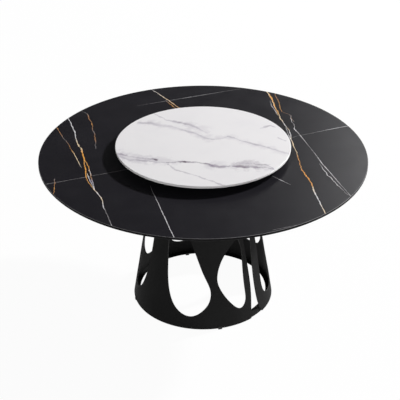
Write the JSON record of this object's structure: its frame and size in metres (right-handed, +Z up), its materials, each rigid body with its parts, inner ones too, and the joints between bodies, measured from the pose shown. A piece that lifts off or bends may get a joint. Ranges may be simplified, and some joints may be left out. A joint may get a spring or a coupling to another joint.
{
  "type": "dining table with lazy susan",
  "caption": "Round black veined stone dining table with a white stone turntable on a ball bearing, on a conical black sheet-steel pedestal cut by leaning organic windows.",
  "frame": {"origin": "on the floor in the axis of the round tabletop", "axes": "+Z up along the turntable axis, -Y towards the side the picture is taken from, +X to the right in the picture"},
  "size_m": [1.4998, 1.4998, 0.801],
  "materials": {
    "black_stone": "satin black sintered stone with gold and white veins",
    "white_stone": "satin white sintered stone with grey violet veins",
    "black_steel": "satin black powder coat",
    "black_rubber": "moulded black rubber",
    "clear_silicone": "milky silicone",
    "black_plastic": "moulded black plastic",
    "white_plastic": "moulded natural plastic",
    "mill_aluminium": "turned aluminium, as machined",
    "turned_aluminium": "turned aluminium ring with fine circular marks",
    "zinc_steel": "bright zinc plate",
    "polished_steel": "polished bearing steel"
  },
  "bodies": {
    "table": {"tabletop_stone": "black_stone", "pedestal_wall": "black_steel", "base_ring": "black_steel", "top_plate": "black_steel", "edge_glides": "black_rubber", "spider_plate": "black_steel", "support_arms": "black_steel", "arm_end_caps": "black_plastic", "top_pads": "clear_silicone", "anchor_bosses": "mill_aluminium", "anchor_bolts": "zinc_steel", "anchor_washers": "zinc_steel", "frame_bolts": "zinc_steel", "frame_washers": "zinc_steel", "frame_nuts": "zinc_steel", "bearing_inner_ring": "turned_aluminium", "bearing_foot_pads": "black_rubber"},
    "ball_train": {"bearing_balls": "polished_steel", "ball_cage": "white_plastic"},
    "turntable": {"bearing_outer_ring": "turned_aluminium", "plate_pads": "clear_silicone", "turntable_stone": "white_stone"}
  },
  "joints": [
    {"name": "turntable_spin", "type": "hinge", "parent": "table", "child": "turntable", "pos_m": [0, 0, 0.7725], "axis": [0, 0, 1], "continuous": true},
    {"name": "ball_train_spin", "type": "hinge", "parent": "table", "child": "ball_train", "pos_m": [0, 0, 0.7725], "axis": [0, 0, 1], "continuous": true}
  ],
  "couplings": [
    {"joint": "ball_train_spin", "follows": "turntable_spin", "ratio": 0.5132}
  ]
}
